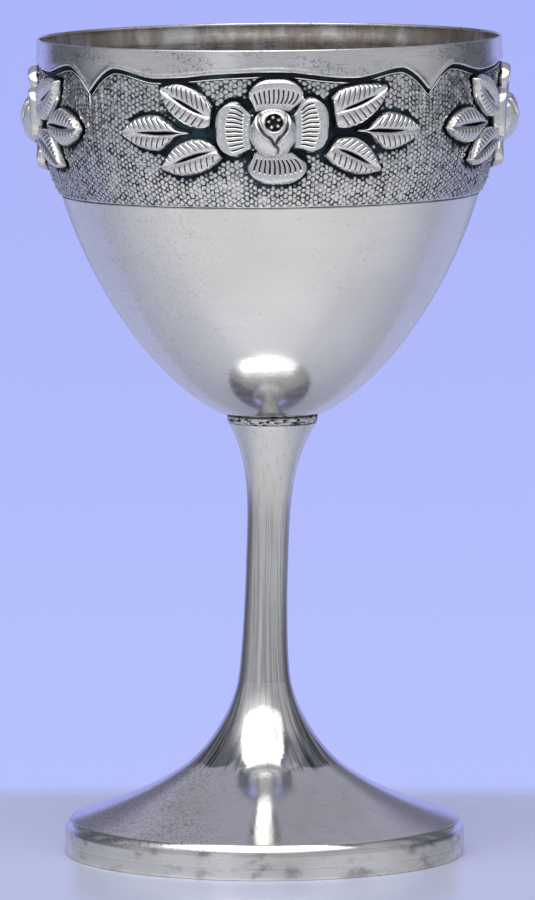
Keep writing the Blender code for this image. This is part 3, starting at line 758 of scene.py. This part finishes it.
def make_foot_rim(material):
    inside = FOOT_RADIUS - FOOT_RIM_WIDTH
    top = FOOT_UNDERSIDE - 0.02 * MM
    profile = [(inside, top + FOOT_RIM_WIDTH * tan(FOOT_EDGE_SLOPE))]
    wall = np.linspace(top, FOOT_RIM_SEAM + FOOT_RIM_SEAM_REACH, 10)
    profile += [(shoulder_radius(height), height) for height in wall]
    profile.append((FOOT_RADIUS - FOOT_RIM_SEAM_DEPTH, FOOT_RIM_SEAM))
    profile.append((FOOT_RADIUS, FOOT_RIM_SEAM - FOOT_RIM_SEAM_REACH))
    profile += [(FOOT_RADIUS, share * FOOT_RIM_SEAM) for share in (0.80, 0.64)]
    profile += [(FOOT_RADIUS - FOOT_RIM_BEVEL[0] * (1 - cos(turn)),
                 FOOT_RIM_BEVEL[1] * (1 - sin(turn))) for turn in np.linspace(0, pi / 2, 7)]
    mesh = turned("foot_ring_sheet", profile + [(inside, 0.0)], 512, True, material, 0.05 * MM)
    for vertex in mesh.vertices:
        along = (atan2(vertex.co.x, -vertex.co.y) - FOOT_DENT[0]) * FOOT_RADIUS / FOOT_DENT_SIZE[0]
        up = (vertex.co.z - FOOT_DENT[1]) / FOOT_DENT_SIZE[1]
        pressed = 1 - FOOT_DENT_DEPTH / FOOT_RADIUS * exp(-along * along - up * up)
        vertex.co *= Vector((pressed, pressed, 1))
    place("foot_ring", mesh, "foot_rim", "foot_rim")


def make_stem(material):
    top = Vector((STEM_TOP_RADIUS, STEM_TOP + 0.5 * SEAT_GAP))
    waist = Vector((STEM_WAIST_RADIUS, STEM_BASE + STEM_WAIST_HEIGHT))
    base = Vector((STEM_FOOT_RADIUS, FOOT_TOP))
    outer = curve(top, STEM_TOP_HANDLE, STEM_WAIST_UPPER_HANDLE, waist, 48)
    outer += curve(waist, STEM_WAIST_LOWER_HANDLE, STEM_FOOT_HANDLE, base, 32)[1:]
    bore = [point - Vector((STEM_WALL, 0.0)) for point in outer]
    mesh = turned("stem_tube", outer + bore[::-4], 128, True, material, 0.05 * MM)
    for vertex in mesh.vertices:
        up = min(max((vertex.co.z - FOOT_TOP) / (STEM_TOP - FOOT_TOP), 0.0), 1.0)
        vertex.co.x += (LEAN @ Vector((0.0, 0.0, STEM_TOP))).x * up ** 1.5
    place("drawn_stem", mesh, "stem", "stem")


def make_collar(material):
    """A disc of solder, squeezed out a little unevenly between the stem and the bowl."""
    low = COLLAR_BASE - 0.5 * SEAT_GAP
    high = COLLAR_TOP + SEAT_GAP
    flat = COLLAR_RADIUS - 0.5 * MM
    profile = [(0.0, high), (flat, high)]
    for turn in np.linspace(pi / 2, -pi / 2, 11):
        profile.append((COLLAR_RADIUS - COLLAR_ROLL + COLLAR_ROLL * cos(turn),
                        (low + high) / 2 + (high - low) / 2 * sin(turn)))
    mesh = turned("collar_disc", profile + [(flat, low), (0.0, low)], 128, False, material, 0.0)
    for vertex in mesh.vertices:
        if hypot(vertex.co.x, vertex.co.y) > COLLAR_RADIUS - 0.6 * MM:
            lump = COLLAR_UNEVENNESS * noise.noise(vertex.co / (0.8 * MM))
            vertex.co *= Vector((1, 1, 1)) + Vector((1, 1, 0)) * lump
    place("solder_collar", mesh, "stem_collar", "collar")


def make_bowl(material):
    base = Vector((BOWL_BASE_RADIUS, BOWL_BASE))
    shoulder = Vector((BOWL_SHOULDER_RADIUS, BOWL_SHOULDER))
    outer = curve(shoulder, BOWL_SHOULDER_HANDLE, BOWL_BASE_HANDLE, base, 96)
    inner = offset(outer, -BOWL_WALL)[1:]
    inset = BAND_WALL + 0.25 * SEAT_GAP
    neck_outer = [Vector((ground_radius(z) - inset, z)) for z in (BOWL_NECK_TOP, BAND_BASE)]
    neck_inner = [point - Vector((BOWL_NECK_WALL, 0.0)) for point in neck_outer]
    profile = [Vector((0.0, BOWL_BASE + BOWL_WALL))] + inner[::-2] + neck_inner[::-1] + neck_outer
    profile += [Vector((neck_outer[1].x, BOWL_SHOULDER + 0.02 * MM))] + outer + [Vector((0.0, BOWL_BASE))]
    place("spun_bowl", turned("bowl_sheet", profile, 288, False, material, 0.02 * MM), "bowl", "bowl")


# Materials

class Recipe:
    """A procedural silver: short calls for the nodes that the finishes share."""

    def __init__(self, name):
        self.material = bpy.data.materials.new(name)
        self.material.use_nodes = True
        self.tree = self.material.node_tree
        self.shader = self.tree.nodes["Principled BSDF"]
        self.shader.inputs["Metallic"].default_value = 1.0
        self.place = self.node("TexCoord").outputs["Object"]

    def feed(self, socket, value):
        """Link a socket to a node's output, or set it to a constant."""
        if isinstance(value, bpy.types.NodeSocket):
            self.tree.links.new(value, socket)
        else:
            socket.default_value = value

    def node(self, kind, *values):
        """A new node, its first inputs fed with the values."""
        node = self.tree.nodes.new("ShaderNode" + kind)
        for socket, value in zip(node.inputs, values):
            self.feed(socket, value)
        return node

    def vector(self, operation, *values):
        node = self.node("VectorMath", *values)
        node.operation = operation
        return node.outputs["Vector"]

    def around(self):
        """The direction from the axis in X and Y, and the height in Z, for marks that run up and down."""
        outward = self.vector('NORMALIZE', self.vector('MULTIPLY', self.place, (1, 1, 0)))
        return self.vector('MULTIPLY_ADD', self.place, (0, 0, 1), outward)

    def split(self):
        """The place's three coordinates."""
        return self.node("SeparateXYZ", self.place).outputs

    def noise(self, stretch, detail, roughness, place=None):
        """Noise whose stretch gives the number of its grains in a metre along X, Y and Z."""
        grains = self.vector('MULTIPLY', place or self.place, stretch)
        return self.node("TexNoise", grains, 0.0, 1.0, detail, roughness).outputs["Fac"]

    def ranged(self, value, low, high, to_low=0.0, to_high=1.0):
        """A value's range from low to high, carried over to another range and held there."""
        node = self.node("MapRange", value, low, high, to_low, to_high)
        node.interpolation_type = 'SMOOTHSTEP'
        return node.outputs["Result"]

    def maths(self, operation, *values):
        node = self.node("Math", *values)
        node.operation = operation
        return node.outputs["Value"]

    def times(self, first, second):
        return self.maths('MULTIPLY', first, second)

    def plus(self, first, second):
        return self.maths('ADD', first, second)

    def mixed(self, share, first, second, blend='MIX'):
        """A colour between two colours, or a share of the second blended with the first."""
        node = self.node("Mix", share)
        node.data_type = 'RGBA'
        node.blend_type = blend
        for socket, colour in zip(node.inputs[6:8], (first, second)):
            self.feed(socket, (*colour, 1.0) if isinstance(colour, tuple) else colour)
        return node.outputs[2]

    def bump(self, height, distance, under=None):
        node = self.node("Bump", 1.0, distance)
        self.feed(node.inputs["Height"], height)
        if under:
            self.feed(node.inputs["Normal"], under)
        return node.outputs["Normal"]

    def attribute(self, name):
        node = self.node("Attribute")
        node.attribute_name = name
        return node.outputs["Fac"]

    def finish(self, colour, roughness, normal):
        for socket, value in (("Base Color", colour), ("Roughness", roughness), ("Normal", normal)):
            self.feed(self.shader.inputs[socket], value)
        return self.material


BRIGHT = (0.93, 0.925, 0.915)
WORN = (0.87, 0.865, 0.855)
DULL = (0.76, 0.75, 0.735)
# Dark tarnish for scratches, specks and pits, also the dark of the streaks' painted reflection
TARNISH_AND_DARK_REFLECTION = (0.23, 0.22, 0.21)
# Colour of the inward faces: painted shade, mixed with stains in patches
INSIDE_SHADE_AND_STAIN = (0.38, 0.33, 0.28)
PATINA = (0.020, 0.026, 0.034)
PATINA_TEAL = (0.045, 0.085, 0.100)


def shaded_and_stained_inside(recipe, colour, rough, grains, low, high):
    """Colour and roughness of a hollow piece, with its inside painted darker and duller as shade and stained
    in patches.
    """
    inside = recipe.attribute("inside")
    stain = recipe.ranged(recipe.noise((grains, grains, 60), 6.0, 0.65), low, high)
    # Inward faces are painted darker as shade, between the shade colour and dull silver in stained patches
    colour = recipe.mixed(inside, colour, recipe.mixed(stain, INSIDE_SHADE_AND_STAIN, DULL))
    return colour, recipe.plus(rough, recipe.times(inside, 0.14))


def turned_silver(name, scratches, roughness, mottling, scratched, tone=BRIGHT, streaks=None, pits=0.0):
    """Polished sheet: cloudy handling marks, fine scratches along a stretch, dark specks, streaks down the
    piece that are part tarnish and part a painted reflection of dark studio folds (their share, heights where
    they begin and are full, what is left in front), pits at the left."""
    recipe = Recipe(name)
    x, _, z = recipe.split()
    cloud = recipe.noise((60, 60, 60), 6.0, 0.55)
    fine = recipe.noise(scratches, 3.0, 0.6)
    speck = recipe.noise((1500, 1500, 1500), 2.0, 0.5)
    colour = recipe.mixed(recipe.ranged(cloud, 0.38, 0.68, 0.0, mottling), tone, DULL)
    colour = recipe.mixed(recipe.ranged(fine, 0.50, 0.74, 0.0, scratched), colour, TARNISH_AND_DARK_REFLECTION)
    colour = recipe.mixed(recipe.ranged(speck, 0.66, 0.76, 0.0, 0.35), colour, TARNISH_AND_DARK_REFLECTION)
    # Dark streaks down the piece: part tarnish, part a painted reflection of dark studio folds
    if streaks:
        most, clear, full, middle = streaks
        streak = recipe.noise((12, 12, 40), 5.0, 0.7, recipe.around())
        ragged = recipe.plus(z, recipe.times(streak, 2 * abs(full - clear)))
        share = recipe.times(recipe.ranged(streak, 0.47, 0.57), recipe.ranged(ragged, clear, full, 0.0, most))
        # The painted reflection is full at the left and right of the piece and fainter in front
        aside = recipe.ranged(recipe.maths('ABSOLUTE', x), 3 * MM, 7 * MM, middle, 1.0)
        colour = recipe.mixed(recipe.times(share, aside), colour, TARNISH_AND_DARK_REFLECTION)
    if pits:
        pit = recipe.ranged(recipe.noise((2200, 2200, 2200), 3.0, 0.6), 0.50, 0.62)
        patch = recipe.plus(x, recipe.times(cloud, 14 * MM))
        share = recipe.times(pit, recipe.ranged(patch, 2 * MM, -6 * MM, 0.0, pits))
        colour = recipe.mixed(share, colour, TARNISH_AND_DARK_REFLECTION)
    rough = recipe.plus(recipe.ranged(cloud, 0.35, 0.70, 0.0, 0.05),
                        recipe.ranged(fine, 0.40, 0.75, roughness, roughness + 0.06))
    colour, rough = shaded_and_stained_inside(recipe, colour, rough, 130, 0.35, 0.65)
    return recipe.finish(colour, rough, recipe.bump(speck, 0.008 * MM, recipe.bump(fine, 0.004 * MM)))


def collar_silver():
    """Rough, greyed solder, dark where it runs in under the bowl."""
    recipe = Recipe("collar_silver")
    lumps = recipe.noise((900, 900, 2600), 5.0, 0.65)
    colour = recipe.mixed(recipe.ranged(lumps, 0.43, 0.51), PATINA, BRIGHT)
    height = recipe.split()["Z"]
    under_bowl = recipe.ranged(height, COLLAR_TOP - 0.40 * MM, COLLAR_TOP - 0.10 * MM, 0.0, 0.85)
    colour = recipe.mixed(under_bowl, colour, PATINA)
    rough = recipe.ranged(lumps, 0.3, 0.7, 0.50, 0.25)
    return recipe.finish(colour, rough, recipe.bump(lumps, 0.35 * MM))


def patina_and_silver(recipe, low, high):
    """Colour and rubbed share: bright on the tops, by the mesh's polish, and blue-black in the recesses."""
    cloud = recipe.noise((420, 420, 420), 5.0, 0.6)
    fine = recipe.noise((1300, 1300, 1300), 4.0, 0.65)
    teal = recipe.noise((160, 160, 160), 3.0, 0.55)
    unsteady = recipe.times(recipe.maths('SUBTRACT', cloud, 0.5), 0.5)
    rubbed = recipe.ranged(recipe.plus(recipe.attribute("polish"), unsteady), low, high)
    silver = recipe.mixed(recipe.ranged(fine, 0.42, 0.68, 0.0, 0.8), BRIGHT, DULL)
    patina = recipe.mixed(recipe.ranged(teal, 0.48, 0.66), PATINA, PATINA_TEAL)
    return recipe.mixed(rubbed, patina, silver), rubbed, fine


def cast_silver(name):
    recipe = Recipe(name)
    colour, rubbed, fine = patina_and_silver(recipe, 0.15, 0.65)
    rough = recipe.plus(recipe.ranged(rubbed, 0.0, 1.0, 0.46, 0.17), recipe.ranged(fine, 0.3, 0.7, 0.0, 0.07))
    return recipe.finish(colour, rough, recipe.bump(fine, 0.012 * MM))


def band_silver():
    """The band's own sheet: punched ground, polished and scratched rim, inside painted darker as shade and
    stained.
    """
    recipe = Recipe("band_silver")
    colour, rubbed, fine = patina_and_silver(recipe, 0.12, 0.54)
    plain = recipe.ranged(recipe.attribute("polish"), 1.2, 1.8)
    scratch = recipe.noise((260, 260, 2400), 4.0, 0.65)
    cloud = recipe.noise((150, 150, 260), 6.0, 0.6)
    worn = recipe.mixed(recipe.ranged(cloud, 0.56, 0.72), BRIGHT, DULL)
    worn = recipe.mixed(recipe.ranged(scratch, 0.55, 0.70, 0.0, 0.30), worn, TARNISH_AND_DARK_REFLECTION)
    dots = recipe.ranged(recipe.noise((2400, 2400, 2400), 3.0, 0.6), 0.50, 0.60)
    dots = recipe.times(dots, recipe.ranged(cloud, 0.46, 0.58, 0.0, 0.6))
    colour = recipe.mixed(plain, colour, recipe.mixed(dots, worn, TARNISH_AND_DARK_REFLECTION))
    ground_rough = recipe.ranged(rubbed, 0.0, 1.0, 0.46, 0.20)
    rim_rough = recipe.ranged(scratch, 0.35, 0.75, 0.09, 0.22)
    rough = recipe.plus(recipe.times(ground_rough, recipe.maths('SUBTRACT', 1.0, plain)),
                        recipe.times(rim_rough, plain))
    colour, rough = shaded_and_stained_inside(recipe, colour, rough, 170, 0.38, 0.66)
    normal = recipe.bump(scratch, 0.006 * MM, recipe.bump(cloud, 0.10 * MM))
    return recipe.finish(colour, rough, recipe.bump(fine, 0.008 * MM, normal))


# Studio. Cards: azimuth from the front, elevation, half sizes and soft borders in degrees, and light.
# A card beyond 90 degrees stands on both sides.
CARDS = (
    (0, -50, 200, 41, 10, 8, (0.26, 0.275, 0.335)),
    (0, -30, 90, 22, 60, 12, (0.10, 0.10, 0.09)),
    (0, 18, 95, 28, 44, 10, (0.275, 0.275, 0.275)),
    (-24, 3, 8, 14, 8, 10, (0.16, 0.16, 0.16)),
    (16, 3, 4, 14, 6, 10, (0.06, 0.06, 0.06)),
    (0, 3, 4, 14, 6, 10, (-0.06, -0.06, -0.06)),
    (-28, 48, 52, 20, 36, 24, (0.45, 0.44, 0.42)),
    (90, 70, 16, 20, 12, 20, (0.16, 0.16, 0.18)),
    (180, 2, 38, 9, 20, 9, (0.27, 0.29, 0.70)),
    (180, -23, 60, 14, 44, 12, (0.045, 0.055, 0.17)),
    (180, 24, 24, 11, 20, 10, (0.06, 0.05, 0.09)),
    (98, 24, 4, 13, 5, 6, (0.13, 0.13, 0.13)),
    (119, 24, 3, 13, 4, 6, (0.10, 0.10, 0.10)),
    (141, 24, 4, 13, 5, 6, (0.07, 0.07, 0.09)),
    (-6, 77, 66, 40, 10, 7, (1.15, 1.14, 1.10)),
    (-6, 92, 66, 32, 10, 7, (2.15, 2.12, 2.05)),
)
# A panel behind and above, whose straight sides show as a line across the foot
PANEL_HALF_WIDTH = 0.49
PANEL = (0.20, 0.20, 0.23)
AMBIENT = (0.115, 0.12, 0.15)
BACKDROP_TOP = (0.415, 0.465, 0.955)
BACKDROP_BASE = (0.480, 0.540, 0.985)
TABLE_SEEN = (0.715, 0.77, 1.00)
# What reflections see of the table is painted light and shade: lighter in front of the goblet, darker and
# bluer behind it
TABLE_FRONT = (0.78, 0.785, 0.79)
TABLE_BACK = (0.53, 0.555, 0.67)
TABLE_BACK_START = -110 * MM
TABLE_FAR = 69 * MM
TABLE_FADE = 11 * MM
TABLE_NEAR = 260 * MM


class Sky(Recipe):
    """The world's node tree, with the same short calls."""

    def __init__(self, world):
        self.tree = world.node_tree
        self.tree.nodes.clear()
        self.place = self.node("TexCoord").outputs["Generated"]

    def window(self, value, centre, half, soft):
        """1 inside a span about a centre, easing to 0 over its soft border."""
        away = self.maths('ABSOLUTE', self.maths('SUBTRACT', value, centre))
        return self.ranged(away, half - soft / 2, half + soft / 2, 1.0, 0.0)


def make_world():
    world = bpy.data.worlds.new("studio")
    bpy.context.scene.world = world
    world.use_nodes = True
    sky = Sky(world)
    x, y, z = sky.split()
    azimuth = sky.times(sky.maths('ARCTAN2', x, sky.times(y, -1.0)), 180 / pi)
    elevation = sky.times(sky.maths('ARCSINE', z), 180 / pi)
    either_side = sky.maths('ABSOLUTE', azimuth)
    light = AMBIENT
    for centre, height, half_width, half_height, soft_width, soft_height, colour in CARDS:
        across = sky.window(either_side if centre > 90 else azimuth, centre, half_width, soft_width)
        upward = sky.window(elevation, height, half_height, soft_height)
        light = sky.mixed(sky.times(across, upward), light, colour, 'ADD')
    across = sky.ranged(sky.maths('ABSOLUTE', x), PANEL_HALF_WIDTH, PANEL_HALF_WIDTH + 0.02, 1.0, 0.0)
    upward = sky.times(sky.ranged(y, -0.05, 0.10), sky.ranged(elevation, 20, 34))
    light = sky.mixed(sky.times(across, upward), light, PANEL, 'ADD')
    seen = sky.mixed(sky.ranged(elevation, -9.0, -3.0), BACKDROP_BASE, BACKDROP_TOP)
    camera_ray = sky.node("LightPath").outputs["Is Camera Ray"]
    background = sky.node("Background", sky.mixed(camera_ray, light, seen))
    sky.node("OutputWorld", background.outputs["Background"])


def make_table():
    """A pale glossy table whose far edge fades out behind the goblet."""
    recipe = Recipe("table")
    recipe.shader.inputs["Metallic"].default_value = 0.0
    recipe.shader.inputs["Roughness"].default_value = 0.22
    y = recipe.split()["Y"]
    side = TABLE_NEAR
    far = TABLE_FAR + TABLE_FADE
    # Painted light and shade: the table that reflections see grows darker and bluer towards the back
    mirrored = recipe.mixed(recipe.ranged(y, TABLE_BACK_START, TABLE_FAR), TABLE_FRONT, TABLE_BACK)
    camera_ray = recipe.node("LightPath").outputs["Is Camera Ray"]
    recipe.feed(recipe.shader.inputs["Base Color"], recipe.mixed(camera_ray, mirrored, TABLE_SEEN))
    recipe.feed(recipe.shader.inputs["Alpha"], recipe.ranged(y, TABLE_FAR - TABLE_FADE, far, 1.0, 0.0))
    mesh = bpy.data.meshes.new("table")
    corners = [(-side, -side, 0), (side, -side, 0), (side, far, 0), (-side, far, 0)]
    mesh.from_pydata(corners, [], [(0, 1, 2, 3)])
    mesh.materials.append(recipe.material)
    new_object("table", mesh)


# Camera: from a metre and a half in front, six degrees above, turned a touch to the goblet's right
CAMERA_DISTANCE = 1.464
CAMERA_TILT = radians(5.96)
CAMERA_TURN = radians(-0.63)
CAMERA_AIM = 64.3 * MM
CAMERA_ASIDE = 0.48 * MM
CAMERA_LENS = 369.2


def make_camera():
    data = bpy.data.cameras.new("camera")
    data.lens = CAMERA_LENS
    data.sensor_width = 36.0
    data.dof.use_dof = False
    data.clip_start = 0.05
    camera = bpy.data.objects.new("camera", data)
    bpy.context.scene.collection.objects.link(camera)
    back = Vector((sin(CAMERA_TURN) * cos(CAMERA_TILT),
                   -cos(CAMERA_TURN) * cos(CAMERA_TILT),
                   sin(CAMERA_TILT)))
    camera.location = Vector((CAMERA_ASIDE, 0.0, CAMERA_AIM)) + CAMERA_DISTANCE * back
    camera.rotation_mode = 'QUATERNION'
    camera.rotation_quaternion = (-back).to_track_quat("-Z", "Y")
    bpy.context.scene.camera = camera


def make_goblet():
    make_foot(turned_silver("foot_silver", (300, 300, 300), 0.08, 0.5, 0.15,
                            streaks=(1.0, 15.2 * MM, 16.2 * MM, 0.3), pits=0.55))
    make_foot_rim(turned_silver("foot_rim_silver", (220, 220, 400), 0.11, 1.0, 0.65))
    make_stem(turned_silver("stem_silver", (2200, 2200, 60), 0.13, 0.5, 0.25, WORN,
                            streaks=(0.5, 64 * MM, 59 * MM, 0.7)))
    make_collar(collar_silver())
    make_bowl(turned_silver("bowl_silver", (90, 90, 1500), 0.09, 0.35, 0.06, pits=0.16))
    make_band(band_silver())
    rose = make_rose(cast_silver("rose_silver"))
    bud = make_bud(cast_silver("bud_silver"))
    leaf_silver = cast_silver("leaf_silver")
    leaves = {key: make_leaf(key, leaf_silver) for key in LEAF_SIDES}
    for i, side in enumerate(SPRAYS):
        turn = i * SPRAY_ANGLE + SPRAY_STRAY[i]
        place(f"cast_rose_{side}", rose, f"rose_{side}", "rose", turn)
        place(f"cast_bud_{side}", bud, f"rose_bud_{side}", "bud", turn)
        for key, leaf in leaves.items():
            place(f"cast_leaf_{side}_{key}", leaf, f"leaf_{side}_{key}", "leaf", turn)


bpy.context.scene.view_settings.view_transform = 'Standard'
make_goblet()
make_world()
make_table()
make_camera()
